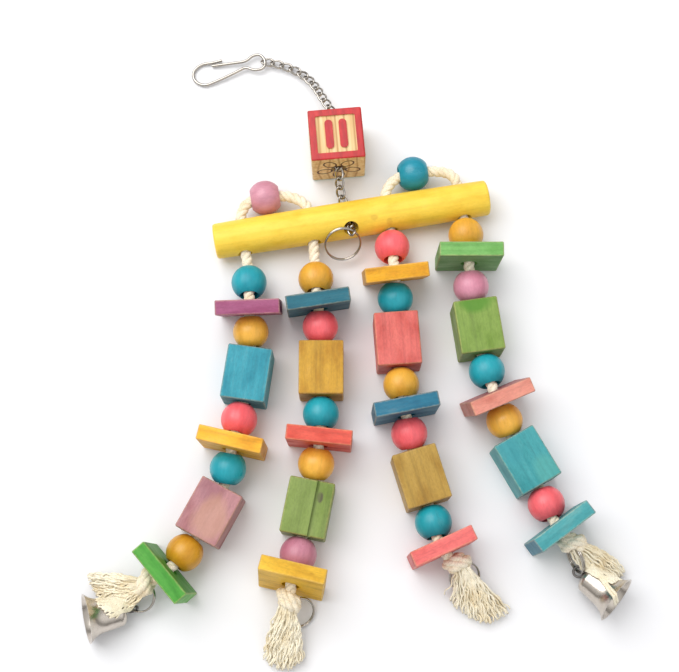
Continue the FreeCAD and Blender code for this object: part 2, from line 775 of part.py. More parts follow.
def chain_points():
    """Route of the chain: hook eye, surface, cube, bar hole, and out to the ring."""
    cube = Vector(cube_place[0], cube_place[1], cube_side / 2)
    cube_way = heading_vector(cube_heading)
    rise = math.radians(chain_hole_rise)
    across = along_bar(0, -1) - along_bar(0, 0)
    hole_way = across * math.cos(rise) + Vector(0, 0, math.sin(rise))
    hole_middle = along_bar(chain_hole_place)
    return [
        Vector(-48.9, 99.7, 2.8),
        Vector(-41.2, 97.9, 2.7),
        Vector(-31.0, 93.4, 2.8),
        Vector(-22.2, 84.6, 6.0),
        Vector(-15.6, 71.6, 12.0),
        cube - cube_way * (cube_side / 2 + 2.0) + Vector(0, 0, -0.6),
        cube + Vector(0, 0, -0.2),
        cube + cube_way * (cube_side / 2 + 1.0) + Vector(0, 0, -0.8),
        along_bar(chain_hole_place - 1.5, bar_middle_radius + 7.0, 5.2),
        hole_middle - hole_way * 9.0,
        hole_middle,
        hole_middle + hole_way * (bar_middle_radius + 1.4),
    ]


def build_cube_and_chain():
    cube_centre = Vector(cube_place[0], cube_place[1], cube_side / 2)
    cube_way = heading_vector(cube_heading)
    add("letter_block", placed(make_cube(), cube_centre, cube_way), "letter_block")
    add_joint("letter_block_spin", "letter_block", "root", "spin", cube_way, cube_centre)
    curve = Part.BSplineCurve()
    curve.interpolate(chain_points())
    edge = curve.toShape()
    count = int(edge.Length / link_pitch)
    step = edge.Length / count
    link = make_link()
    upper = []
    lower = []
    end_way = edge.tangentAt(edge.getParameterByLength(count * step))
    ring_side = bar_ring_frame()[1]
    level = Vector(0, 0, 1).cross(end_way).normalize()
    wanted = math.degrees(math.atan2(ring_side.dot(end_way.cross(level)), ring_side.dot(level)))
    own = chain_roll if count % 2 else -chain_roll
    end_turn = (wanted - own + 90) % 180 - 90
    for index in range(count + 1):
        parameter = edge.getParameterByLength(index * step)
        centre = edge.valueAt(parameter)
        way = edge.tangentAt(parameter)
        roll = chain_roll if index % 2 else -chain_roll
        roll += -chain_roll * max(0.0, 1 - index / chain_untwist)
        roll += end_turn * max(0.0, 1 - (count - index) / chain_untwist)
        moved = placed(link, centre, way, roll)
        if (centre - cube_centre).dot(cube_way) < 0:
            upper.append(moved)
        else:
            lower.append(moved)
    print("chain length %.1f" % edge.Length, "links", len(upper), len(lower), "step %.2f" % step)
    add("chain_upper", Part.makeCompound(upper))
    add("chain_lower", Part.makeCompound(lower))
    return edge


def build_hook():
    """One bent wire: turned-out end, wide loop, arm, eye, and the sprung arm back to the end."""
    low = hook_wire / 2
    reach = 37.4
    outline_points = [
        (20.2, 1.6), (25.3, 0.2), (32.4, -0.6), (37.4, -5.2), (36.2, -11.6), (30.0, -14.6),
        (18.5, -9.6), (6.0, -3.0), (1.6, -5.2), (-4.4, -4.4), (-5.6, 0.2), (-2.4, 5.0), (2.4, 4.2),
        (6.0, 0.6), (26.0, -1.9),
    ]
    points = []
    for a, b in outline_points:
        height = low + (hook_eye_height - low) * (reach - a) / reach
        points.append(Vector(hook_eye_place[0] - a, hook_eye_place[1] + b, height))
    path, radii = rounded_path(points, 0.48)
    add("snap_hook", tube(path, hook_wire), "snap_hook")
    pivot = Vector(hook_eye_place[0] + 5.6, hook_eye_place[1] - 0.2, hook_eye_height)
    add_joint("snap_hook_swing", "snap_hook", "root", "hinge", Vector(0, 1, 0), pivot, (0, 110))


def bar_ring_frame():
    """Where the bar's ring hangs in the last link, the way to its middle, and its axis."""
    rise = math.radians(chain_hole_rise)
    across = along_bar(0, -1) - along_bar(0, 0)
    along = along_bar(1, 0) - along_bar(0, 0)
    outward = across * math.cos(rise) + Vector(0, 0, math.sin(rise))
    down = across * math.sin(rise) - Vector(0, 0, math.cos(rise))
    reach = bar_middle_radius + ring_wire / 2 + ring_turn_pitch / 2 + ring_on_bar_play
    hang = along_bar(chain_hole_place) + outward * reach
    return hang, (down * 0.8 - along * 0.6).normalize(), outward


def build_rings():
    mean = (bar_ring_diameter - ring_wire) / 2
    hang, side, outward = bar_ring_frame()
    add("bar_ring", oriented(make_ring(bar_ring_diameter), hang + side * mean, outward), "bar_ring")
    add_joint("bar_ring_swing", "bar_ring", "root", "hinge", side.cross(outward), hang, (0, 100))
    for number in sorted(end_rings):
        name = "end_ring_%d" % number
        centre, axis, far = ring_frame(number)
        add(name, oriented(make_ring(end_ring_diameter), centre, axis), name)
        if number in bell_headings:
            add_joint(name + "_turn", name, "root", "hinge", axis, centre, (-5, 5))
        else:
            add_joint(name + "_turn", name, "root", "spin", axis, centre)


def build_bells():
    for number in sorted(bell_headings):
        hang, crown, way, roll = bell_frame(number)
        name = "bell_%d" % number
        add(name, placed(make_bell(), crown, way), name)
        add(name + "_eye", placed(make_bell_eye(), crown, way, roll), name)
        level = way.cross(Vector(0, 0, 1)).normalize()
        swing, limits = bell_swings[number]
        swing_axis = level if swing == "lift" else Vector(0, 0, 1)
        add_joint(name + "_swing", name, "end_ring_%d" % number, "hinge", swing_axis, hang, limits)
        pivot = crown + way * bell_clapper_pivot
        add(name + "_clapper", placed(make_clapper(), pivot, way, roll), name + "_clapper")
        add_joint(name + "_clapper_swing", name + "_clapper", name, "hinge", level, pivot, (-10, 10))


build()

boxes = [entry["shape"].optimalBoundingBox() for entry in parts.values()]
box = boxes[0]
for other in boxes[1:]:
    box.add(other)
shift = Vector(-box.Center.x, -box.Center.y, -box.ZMin)
for entry in parts.values():
    entry["shape"].translate(shift)
for joint in joints:
    joint["origin"] = joint["origin"] + shift

os.makedirs("parts", exist_ok=True)
for name, entry in parts.items():
    entry["shape"].exportStep("parts/%s.step" % name)
print("parts", len(parts), "size %.1f x %.1f x %.1f" % (box.XLength, box.YLength, box.ZLength))
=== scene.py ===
# %% [markdown]
# # A hanging chew toy for birds
# Dyed wooden beads, tiles and blocks hang on cotton rope from a yellow perch bar.
# The wood and the metal pieces come from the CAD frame. This lesson gives them their finish,
# and makes what CAD left plain: the laid rope, its knots and its frayed tassels.

# %% Load the frame and measure it
import json
import math
import random

import bmesh
import bpy
import numpy as np
from mathutils import Matrix, Vector
from mathutils.bvhtree import BVHTree


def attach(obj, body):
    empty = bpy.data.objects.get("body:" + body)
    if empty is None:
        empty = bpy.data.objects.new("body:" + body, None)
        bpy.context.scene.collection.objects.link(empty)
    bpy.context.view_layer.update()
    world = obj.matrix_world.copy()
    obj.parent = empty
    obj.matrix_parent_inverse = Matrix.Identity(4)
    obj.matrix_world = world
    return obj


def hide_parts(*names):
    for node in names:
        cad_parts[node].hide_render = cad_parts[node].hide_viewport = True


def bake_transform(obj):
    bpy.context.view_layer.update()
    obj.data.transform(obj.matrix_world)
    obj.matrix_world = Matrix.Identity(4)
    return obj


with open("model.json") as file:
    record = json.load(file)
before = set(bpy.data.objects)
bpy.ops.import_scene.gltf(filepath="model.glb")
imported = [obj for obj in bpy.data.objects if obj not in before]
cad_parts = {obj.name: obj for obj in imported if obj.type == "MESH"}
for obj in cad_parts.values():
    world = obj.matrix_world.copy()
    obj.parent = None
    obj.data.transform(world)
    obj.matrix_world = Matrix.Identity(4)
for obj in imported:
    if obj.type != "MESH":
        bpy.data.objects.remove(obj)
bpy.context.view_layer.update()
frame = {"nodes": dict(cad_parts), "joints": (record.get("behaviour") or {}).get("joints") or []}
print("frame nodes", len(frame["nodes"]))

# %% [markdown]
# The photograph looks down on the toy from about 65 cm, tipped a little towards the hook.
# Blender's camera looks along its own -Z, so turning it about X by the tip angle is enough.
# A small sideways shift puts the middle of the lens where the photograph has it.

# %% Camera
IMAGE_WIDTH = 679
FOCAL_PIXELS = 1200
LENS_CENTRE_OFFSET = 3.5
CAMERA_FOOT = (-0.0066, -0.1519)
CAMERA_HEIGHT = 0.648
CAMERA_TIP = math.radians(13.7)
SENSOR_WIDTH = 36.0

camera_data = bpy.data.cameras.new("camera")
camera_data.sensor_width = SENSOR_WIDTH
camera_data.lens = SENSOR_WIDTH * FOCAL_PIXELS / IMAGE_WIDTH
camera_data.shift_x = -LENS_CENTRE_OFFSET / IMAGE_WIDTH
camera_data.clip_start = 0.01
camera = bpy.data.objects.new("camera", camera_data)
camera.location = (CAMERA_FOOT[0], CAMERA_FOOT[1], CAMERA_HEIGHT)
camera.rotation_euler = (CAMERA_TIP, 0, 0)
bpy.context.scene.collection.objects.link(camera)
bpy.context.scene.camera = camera
bpy.context.scene.view_settings.view_transform = "Standard"
print("lens", round(camera_data.lens, 1), "mm, height", CAMERA_HEIGHT, "m")

# %% [markdown]
# A listed colour is in sRGB, and a shader works in linear light, so each one is converted.
# Small builders keep the node trees readable: one joins two sockets, and the others each add one
# kind of node, such as a colour ramp, a mix or a stretched noise, and hand back its output.

# %% Colour and node helpers
def linear(code):
    """sRGB hex colour as linear numbers."""
    code = code.lstrip("#")
    values = []
    for start in (0, 2, 4):
        share = int(code[start:start + 2], 16) / 255
        values.append(share / 12.92 if share <= 0.04045 else ((share + 0.055) / 1.055) ** 2.4)
    return (*values, 1.0)


def new_material(name):
    """Material with an empty tree, its tree, and its main shader."""
    material = bpy.data.materials.new(name)
    material.use_nodes = True
    tree = material.node_tree
    return material, tree, tree.nodes["Principled BSDF"]


def join(tree, source, target):
    """Link from an output to an input."""
    tree.links.new(source, target)


def ramp(tree, source, stops):
    """Colour ramp on a value; stops are (place, colour)."""
    made = tree.nodes.new("ShaderNodeValToRGB")
    elements = made.color_ramp.elements
    while len(elements) < len(stops):
        elements.new(0.5)
    for element, (place, colour) in zip(elements, stops):
        element.position = place
        element.color = colour
    join(tree, source, made.inputs["Fac"])
    return made.outputs["Color"]


def grey(level):
    """Grey of one level, as four numbers."""
    return (level, level, level, 1.0)


def mixed(tree, share, first, second, mode="MIX"):
    """Mix of two colours; each of the three may be a socket or a plain value."""
    made = tree.nodes.new("ShaderNodeMix")
    made.data_type = "RGBA"
    made.blend_type = mode
    for socket, value in ((made.inputs[0], share), (made.inputs[6], first), (made.inputs[7], second)):
        if isinstance(value, bpy.types.NodeSocket):
            join(tree, value, socket)
        else:
            socket.default_value = value
    return made.outputs[2]


def maths(tree, operation, first, second=0.0, clamp=False):
    """Arithmetic node on sockets or numbers."""
    made = tree.nodes.new("ShaderNodeMath")
    made.operation = operation
    made.use_clamp = clamp
    for socket, value in zip(made.inputs, (first, second)):
        if isinstance(value, bpy.types.NodeSocket):
            join(tree, value, socket)
        else:
            socket.default_value = value
    return made.outputs[0]


def own_coordinates(tree, centre, turn):
    """Object coordinates measured from a piece's middle along its own directions."""
    place = tree.nodes.new("ShaderNodeTexCoord")
    mapping = tree.nodes.new("ShaderNodeMapping")
    mapping.vector_type = "TEXTURE"
    mapping.inputs["Location"].default_value = centre
    mapping.inputs["Rotation"].default_value = turn
    join(tree, place.outputs["Object"], mapping.inputs["Vector"])
    return mapping.outputs["Vector"]


def stretched_noise(tree, vector, scale, detail=3.0, rough=0.55, offset=0.0):
    """Noise stretched by giving each direction its own scale, in cycles per metre."""
    mapping = tree.nodes.new("ShaderNodeMapping")
    mapping.inputs["Scale"].default_value = scale
    mapping.inputs["Location"].default_value = (offset, offset * 0.7, offset * 1.3)
    join(tree, vector, mapping.inputs["Vector"])
    noise = tree.nodes.new("ShaderNodeTexNoise")
    noise.inputs["Scale"].default_value = 1.0
    noise.inputs["Detail"].default_value = detail
    noise.inputs["Roughness"].default_value = rough
    join(tree, mapping.outputs["Vector"], noise.inputs["Vector"])
    return noise.outputs["Fac"]


def bumped(tree, shader, height, distance, strength=1.0):
    """Bump on the main shader from a height between 0 and 1 worth a distance in metres."""
    bump = tree.nodes.new("ShaderNodeBump")
    bump.inputs["Strength"].default_value = strength
    bump.inputs["Distance"].default_value = distance
    join(tree, height, bump.inputs["Height"])
    join(tree, bump.outputs["Normal"], shader.inputs["Normal"])

# %% [markdown]
# The wood is a pale softwood, dyed by soaking. Dye sinks in unevenly: it goes dark in the open
# grain and pale where the wood is hard, and some pieces are almost bare in patches.
# Three layers of noise do this. One is broad, for the uneven soak. One is stretched along the
# grain, for the growth bands. One is very fine, for the pores, and it also drives the bump.

# %% Dyed wood
def shade(colour, factor):
    """Lighter or darker colour of the same hue."""
    return (min(1, colour[0] * factor), min(1, colour[1] * factor), min(1, colour[2] * factor), 1.0)


def deeper(colour, factor):
    """Darker and fuller tint to multiply a dyed colour with, as where more dye has soaked in."""
    strongest = max(colour[:3])
    return tuple(factor * (max(channel, 0.02) / strongest) ** 0.22 for channel in colour[:3]) + (1.0,)


def toned(colour, target, share):
    """Colour moved a share of the way to another one."""
    return tuple(a * (1 - share) + b * share for a, b in zip(colour[:3], target[:3])) + (1.0,)


BARE_WOOD = linear("#E9CF9C")


def dyed_wood(name, code, place, seed, fade=0.25, contrast=1.0, roughness=0.5, patches=(), tones=None):
    """Dyed softwood with its grain along the piece's own X.
    place is the middle, half sizes and turn of the piece. A patch is (place, half sizes, colour, share).
    tones says how a flat-sided piece differs: edges with a painted highlight, end faces and broad faces."""
    material, tree, shader = new_material(name)
    base = linear(code)
    middle, half, turn = place
    own = own_coordinates(tree, middle, turn)
    soak = stretched_noise(tree, own, (55, 110, 110), 3.0, 0.55, seed)
    bands = stretched_noise(tree, own, (14, 330, 330), 3.0, 0.6, seed + 3)
    pores = stretched_noise(tree, own, (190, 2100, 2100), 2.0, 0.6, seed + 7)
    mottle = stretched_noise(tree, own, (600, 1100, 1100), 2.0, 0.6, seed + 11)
    light = toned(shade(base, 1.08), BARE_WOOD, fade * 0.4)
    dark = shade(base, 1 - 0.22 * contrast)
    banded = ramp(tree, bands, [(0.28, dark), (0.5, base), (0.78, light)])
    soaked = ramp(tree, soak, [(0.3, deeper(base, 1 - 0.2 * contrast)), (0.52, grey(1.0)),
                               (0.75, grey(1.07))])
    colour = mixed(tree, 1.0, banded, soaked, "MULTIPLY")
    worn = ramp(tree, soak, [(0.62, grey(0.0)), (0.78, grey(1.0))])
    colour = mixed(tree, maths(tree, "MULTIPLY", worn, fade), colour, toned(base, BARE_WOOD, 0.7))
    pored = ramp(tree, pores, [(0.3, deeper(base, 0.68)), (0.42, grey(1.0))])
    colour = mixed(tree, 0.4 * contrast, colour, mixed(tree, 1.0, colour, pored, "MULTIPLY"))
    speckled = ramp(tree, mottle, [(0.35, grey(0.86)), (0.6, grey(1.06))])
    colour = mixed(tree, 0.6 * contrast, colour, mixed(tree, 1.0, colour, speckled, "MULTIPLY"))
    for spot, size, tint, share in patches:
        colour = mixed(tree, patch_share(tree, own, spot, size, soak, share), colour, linear(tint))
    if tones:
        colour = flat_sides(tree, own, half, colour, base, tones, mottle)
    join(tree, colour, shader.inputs["Base Color"])
    gloss = ramp(tree, soak, [(0.3, grey(roughness + 0.1)), (0.7, grey(roughness - 0.08))])
    join(tree, gloss, shader.inputs["Roughness"])
    shader.inputs["Specular IOR Level"].default_value = 0.45
    height = maths(tree, "ADD", maths(tree, "MULTIPLY", bands, 0.5), maths(tree, "MULTIPLY", pores, 0.5))
    bumped(tree, shader, height, 0.00022, 0.6)
    return material


# %% [markdown]
# A sawn tile or block is not the same on all sides. End grain drinks more dye, and a broad face may
# have taken it apart from the edges. The edges are painted paler, back towards bare wood, as a painted
# highlight where rounded edges catch the light. How far a point lies inside each pair of faces tells
# which of these it is on. Odd spots, such as a knot in the wood, are soft-edged ovals laid over that.

# %% Flat sides and patches
def flat_sides(tree, own, half, colour, base, tones, mottle):
    """End grain drinks more dye, broad faces may be toned apart, and the edges get a painted highlight, paler
    towards bare wood.
    """
    split = tree.nodes.new("ShaderNodeSeparateXYZ")
    join(tree, own, split.inputs["Vector"])
    inside = []
    for output, reach in zip(split.outputs, half):
        inside.append(maths(tree, "SUBTRACT", maths(tree, "ABSOLUTE", output), float(reach)))
    if tones.get("broad"):
        share = maths(tree, "GREATER_THAN", inside[1], -0.0005)
        toned_face = mixed(tree, 1.0, colour, tones["broad"], "MULTIPLY")
        colour = mixed(tree, share, colour, toned_face)
    share = maths(tree, "GREATER_THAN", inside[0], -0.0006)
    colour = mixed(tree, share, colour, mixed(tree, 1.0, colour, tones["end"], "MULTIPLY"))
    # Painted highlight: near the edges the colour goes paler, towards bare wood, as rounded edges catch the
    # light.
    pairs = [maths(tree, "MINIMUM", inside[i], inside[j]) for i, j in ((0, 1), (1, 2), (0, 2))]
    nearest = maths(tree, "MAXIMUM", pairs[0], maths(tree, "MAXIMUM", pairs[1], pairs[2]))
    wander = maths(tree, "MULTIPLY", maths(tree, "SUBTRACT", mottle, 0.5), 0.0012)
    ragged = maths(tree, "ADD", nearest, wander)
    edge_highlight = maths(tree, "MULTIPLY", maths(tree, "ADD", ragged, 0.0009), 1400.0, clamp=True)
    return mixed(tree, maths(tree, "MULTIPLY", edge_highlight, tones["edge_highlight"]), colour, toned(base, BARE_WOOD, 0.55))


def patch_share(tree, own, place, half, ragged, share):
    """How much of a soft-edged patch shows at a point, from 0 to its share."""
    mapping = tree.nodes.new("ShaderNodeMapping")
    mapping.inputs["Scale"].default_value = [1 / size for size in half]
    mapping.inputs["Location"].default_value = [-middle / size for middle, size in zip(place, half)]
    join(tree, own, mapping.inputs["Vector"])
    length = tree.nodes.new("ShaderNodeVectorMath")
    length.operation = "LENGTH"
    join(tree, mapping.outputs["Vector"], length.inputs[0])
    reach = maths(tree, "ADD", length.outputs["Value"], maths(tree, "MULTIPLY", ragged, 0.6))
    return ramp(tree, reach, [(0.0, grey(share)), (0.75, grey(share)), (1.0, grey(0.0))])


# %% [markdown]
# A finish has to know where its piece is, because the grain follows the piece and not the table.
# Each turning piece has a joint along its rope, which gives the direction, and the mesh gives the
# middle and the half sizes in that direction.

# %% Finding each piece
def give(name, material):
    """Puts one material on a CAD node."""
    piece = frame["nodes"][name]
    for slot in piece.material_slots:
        slot.material = material
    if not piece.material_slots:
        piece.data.materials.append(material)


def turn_for(along, up=Vector((0, 0, 1))):
    """Turn of a frame whose X lies along a direction and whose Z is as near up as it can be."""
    x = Vector(along).normalized()
    y = up.cross(x).normalized()
    z = x.cross(y)
    return Matrix((x, y, z)).transposed().to_euler()


def axis_of(name):
    """Direction and middle of a turning piece, from its joint."""
    for joint in frame["joints"]:
        if joint["child"] == name:
            return Vector(joint["axis"]), Vector(joint["pos_m"])
    return None


def own_place(name, along, across):
    """Middle, half sizes and turn of a piece, measured in its own directions from its mesh."""
    turn = turn_for(along, across)
    axes = turn.to_matrix()
    points = np.array([vertex.co[:] for vertex in frame["nodes"][name].data.vertices]) @ np.array(axes)
    low, high = points.min(axis=0), points.max(axis=0)
    return axes @ Vector((low + high) / 2), (high - low) / 2, turn


# %% [markdown]
# The toy comes from a few dye lots. The beads share them. The tiles and blocks are softer wood and
# vary more, so each has its own. A few pieces also have patches, end grain or faces of their own.

# %% Dye lots
TEAL, DEEP_TEAL, BLUE = "#1F9FAD", "#1897A4", "#138AA0"
ORANGE, RED, PINK = "#EFB345", "#F2686F", "#D690A5"
YELLOW_BEAD = "#E4A93C"
STRAND_COLOURS = {
    1: {"bead": [TEAL, ORANGE, RED, TEAL, "#CE9524"], "tile": ["#A05279", "#EFAE0C", "#45992D"],
        "block": ["#1A90A2", "#B07A7E"]},
    2: {"bead": [YELLOW_BEAD, RED, TEAL, ORANGE, "#C07E90"], "tile": ["#086476", "#DA503E", "#E5B420"],
        "block": ["#C3921A", "#7D9244"]},
    3: {"bead": [RED, TEAL, YELLOW_BEAD, RED, DEEP_TEAL], "tile": ["#E6A50C", "#066A86", "#E46B68"],
        "block": ["#D3625A", "#AC8834"]},
    4: {"bead": [YELLOW_BEAD, PINK, TEAL, ORANGE, RED], "tile": ["#74B05C", "#DA8B7A", "#3F989D"],
        "block": ["#7A963F", "#3B999E"]},
}
PATCHES = {
    "strand_1_block_2": [((-0.010, -0.005, 0.010), (0.011, 0.009, 0.014), "#92606C", 0.45),
                         ((0.003, 0.003, 0.010), (0.020, 0.015, 0.014), "#C4967A", 0.5)],
    "strand_2_block_2": [((-0.006, 0.0055, 0.010), (0.0046, 0.0026, 0.008), "#4A4032", 0.85),
                         ((-0.006, 0.004, 0.010), (0.012, 0.003, 0.008), "#6E8038", 0.4)],
    "strand_4_block_1": [((-0.013, 0.0, 0.010), (0.011, 0.015, 0.016), "#4C8414", 0.85)],
    "strand_4_block_2": [((0.010, 0.006, 0.010), (0.016, 0.010, 0.014), "#69B39C", 0.25),
                         ((-0.010, -0.006, 0.010), (0.016, 0.010, 0.014), "#2F8C98", 0.35)],
    "perch_bar": [((0.012, -0.004, 0.008), (0.004, 0.003, 0.008), "#B98A2C", 0.35),
                  ((0.020, -0.007, 0.006), (0.003, 0.003, 0.008), "#C59434", 0.35)],
}
BROAD_TONES = {"strand_4_tile_2": (0.62, 0.52, 0.72, 1.0), "strand_4_tile_1": (0.86, 0.80, 1.0, 1.0),
               "strand_1_tile_3": (0.95, 0.95, 0.95, 1.0)}
END_TONES = {"strand_1_tile_3": (1.9, 1.25, 2.2, 1.0), "strand_4_tile_3": (0.42, 0.6, 0.82, 1.0)}

# %% [markdown]
# Now every wooden piece gets its dye. A tile's grain runs level across it, and a bead's or block's
# runs along the rope. The seed moves the noise, so that no two pieces show the same grain.

# %% Dye every piece
grain_seed = 0
for strand, kinds in STRAND_COLOURS.items():
    for kind, colours in kinds.items():
        for number, code in enumerate(colours, 1):
            grain_seed += 11
            name = "strand_%d_%s_%d" % (strand, kind, number)
            along, middle = axis_of(name)
            level = Vector((0, 0, 1)).cross(along).normalized()
            grain, top = (level, level.cross(along)) if kind == "tile" else (along, Vector((0, 0, 1)))
            place = own_place(name, grain, top)
            # The first share is how strongly the edges get their painted highlight.
            tones = {"edge_highlight": 0.45, "end": END_TONES.get(name, grey(0.8)), "broad": BROAD_TONES.get(name)}
            fade = {"bead": 0.05, "tile": 0.1, "block": 0.1}[kind]
            contrast = {"bead": 0.5, "tile": 1.0, "block": 1.0}[kind]
            give(name, dyed_wood("wood_" + name, code, place, grain_seed, fade, contrast,
                                 0.34 if kind == "bead" else 0.5, PATCHES.get(name, ()),
                                 None if kind == "bead" else tones))
for name, code in (("loop_bead_left", "#CB8C9C"), ("loop_bead_right", BLUE)):
    along, middle = axis_of(name)
    grain_seed += 11
    give(name, dyed_wood("wood_" + name, code, own_place(name, along, Vector((0, 0, 1))), grain_seed,
                         0.05, 0.55, 0.34))
BAR_TURN = math.radians(9.67)
bar_along = Vector((math.cos(BAR_TURN), math.sin(BAR_TURN), 0))
give("perch_bar", dyed_wood("wood_perch_bar", "#F6D046", own_place("perch_bar", bar_along, Vector((0, 0, 1))),
                            5, 0.1, 0.45, 0.46, PATCHES["perch_bar"]))
print("dyed pieces", grain_seed // 11 + 1)

# %% [markdown]
# The alphabet cube is bare wood with a painted top. A roller laid the red paint, so it sits only on
# what stands proud: the border and the two raised bars. The underside was rolled green.
# Height above the cube's middle picks the paint, and noise frays the paint's edge.

# %% Alphabet cube
cube_along, cube_middle = axis_of("letter_block")
CUBE_HALF = 0.015
RED_FROM = CUBE_HALF - 0.0005
GREEN_BELOW = -CUBE_HALF + 0.0005


def cube_wood():
    material, tree, shader = new_material("wood_letter_block")
    own = own_coordinates(tree, cube_middle, turn_for(cube_along))
    bands = stretched_noise(tree, own, (22, 420, 420), 3.0, 0.6, 4)
    pores = stretched_noise(tree, own, (200, 2600, 2600), 2.0, 0.6, 9)
    colour = ramp(tree, bands, [(0.3, linear("#CFA468")), (0.5, linear("#E4C38B")),
                                (0.72, linear("#F1DAA9"))])
    sway = tree.nodes.new("ShaderNodeMapping")
    sway.inputs["Scale"].default_value = (60, 210, 210)
    join(tree, own, sway.inputs["Vector"])
    figure = tree.nodes.new("ShaderNodeTexWave")
    figure.bands_direction = "Y"
    figure.inputs["Scale"].default_value = 0.30
    figure.inputs["Distortion"].default_value = 5.0
    figure.inputs["Detail"].default_value = 1.0
    figure.inputs["Detail Scale"].default_value = 0.5
    join(tree, sway.outputs["Vector"], figure.inputs["Vector"])
    lines = ramp(tree, figure.outputs["Fac"], [(0.0, grey(0.7)), (0.10, grey(0.3)), (0.26, grey(0.0))])
    colour = mixed(tree, lines, colour, linear("#A8763A"))
    split = tree.nodes.new("ShaderNodeSeparateXYZ")
    join(tree, own, split.inputs["Vector"])
    fray = stretched_noise(tree, own, (900, 900, 900), 2.0, 0.5, 2)
    wander = maths(tree, "MULTIPLY", maths(tree, "SUBTRACT", fray, 0.5), 0.0006)
    ragged = maths(tree, "ADD", split.outputs["Z"], wander)
    is_red = maths(tree, "GREATER_THAN", ragged, RED_FROM)
    is_green = maths(tree, "LESS_THAN", ragged, GREEN_BELOW)
    rolled = stretched_noise(tree, own, (120, 500, 500), 3.0, 0.6, 6)
    red = ramp(tree, rolled, [(0.3, linear("#A51519")), (0.6, linear("#C21D22")), (0.8, linear("#D03A36"))])
    green = ramp(tree, rolled, [(0.3, linear("#3F8A3C")), (0.7, linear("#5FAE50"))])
    colour = mixed(tree, is_red, colour, red)
    colour = mixed(tree, is_green, colour, green)
    join(tree, colour, shader.inputs["Base Color"])
    gloss = maths(tree, "SUBTRACT", 0.55, maths(tree, "MULTIPLY", is_red, 0.17))
    join(tree, gloss, shader.inputs["Roughness"])
    height = maths(tree, "ADD", maths(tree, "MULTIPLY", bands, 0.6), maths(tree, "MULTIPLY", pores, 0.4))
    bumped(tree, shader, height, 0.0002, 0.5)
    return material


give("letter_block", cube_wood())
print("cube middle", [round(value, 4) for value in cube_middle])

# %% [markdown]
# The chain, hook, rings and bells are bright nickel plate on steel. Plate this thin is a smooth
# mirror with faint rubbing, so the metal is fully metallic with low, slightly uneven roughness.

# %% Nickel plate
def nickel(name, code, roughness, wear=0.08, painted_shade_tint=None):
    """Plated steel; hollow is a painted shade: a warm dark tone painted where little light gets in, in place
    of the bell's shade and dark reflection inside.
    """
    material, tree, shader = new_material(name)
    place = tree.nodes.new("ShaderNodeTexCoord")
    cloud = stretched_noise(tree, place.outputs["Object"], (260, 260, 260), 3.0, 0.6, 1)
    rub = stretched_noise(tree, place.outputs["Object"], (3000, 900, 1800), 2.0, 0.5, 5)
    base = linear(code)
    colour = ramp(tree, cloud, [(0.3, shade(base, 0.86)), (0.7, base)])
    if painted_shade_tint:
        # Painted shade: where ambient occlusion finds the surface closed in, as inside a bell, the colour is
        # darkened towards a warm brown.
        closed = tree.nodes.new("ShaderNodeAmbientOcclusion")
        closed.inputs["Distance"].default_value = 0.012
        closed.samples = 8
        depth = ramp(tree, closed.outputs["AO"], [(0.15, grey(0.8)), (0.75, grey(0.0))])
        colour = mixed(tree, depth, colour, linear(painted_shade_tint))
    join(tree, colour, shader.inputs["Base Color"])
    shader.inputs["Metallic"].default_value = 1.0
    gloss = maths(tree, "ADD", roughness, maths(tree, "MULTIPLY", cloud, wear))
    join(tree, gloss, shader.inputs["Roughness"])
    bumped(tree, shader, rub, 0.00002, 0.35)
    return material


plate = nickel("nickel_plate", "#B9B3AB", 0.12)
# The bell's last colour is its painted inner shade.
bell_plate = nickel("nickel_bell", "#D4CBC0", 0.25, 0.06, "#46342A")
eye_wire = nickel("steel_eye", "#6E6A68", 0.28)
for name in ("chain_upper", "chain_lower", "snap_hook", "bar_ring",
             "end_ring_1", "end_ring_2", "end_ring_3", "end_ring_4"):
    give(name, plate)
for number in (1, 4):
    give("bell_%d" % number, bell_plate)
    give("bell_%d_eye" % number, eye_wire)
    give("bell_%d_clapper" % number, plate)
print("metal finishes", plate.name, bell_plate.name, eye_wire.name)

# %% [markdown]
# Real chain of this kind is curb chain: every link is twisted a quarter turn, so the chain lies
# flat and each end is square to the next one. CAD has plain ovals at the right places.
# One link is made from an oval of wire, twisted with a Simple Deform modifier, and then copied
# to the middle and direction of each CAD link, which are read from the CAD mesh.

# %% One curb link
LINK_HALF_LENGTH = 0.00375
LINK_HALF_WIDTH = 0.00212
LINK_WIRE_RADIUS = 0.00066


def curb_link():
    """Twisted oval of wire along X, about the origin."""
    bpy.ops.object.select_all(action="DESELECT")
    bpy.ops.curve.primitive_bezier_circle_add(radius=1.0)
    bpy.ops.object.mode_set(mode="EDIT")
    bpy.ops.curve.select_all(action="SELECT")
    bpy.ops.transform.resize(value=(LINK_HALF_LENGTH, LINK_HALF_WIDTH, 1.0))
    bpy.ops.object.mode_set(mode="OBJECT")
    oval = bpy.context.object
    oval.data.resolution_u = 10
    oval.data.bevel_depth = LINK_WIRE_RADIUS
    oval.data.bevel_resolution = 2
    bpy.ops.object.convert(target="MESH")
    made = bpy.context.object
    twist = made.modifiers.new("twist", "SIMPLE_DEFORM")
    twist.deform_method = "TWIST"
    twist.deform_axis = "X"
    twist.angle = math.radians(90)
    bpy.ops.object.modifier_apply(modifier="twist")
    bpy.ops.object.shade_smooth()
    return made


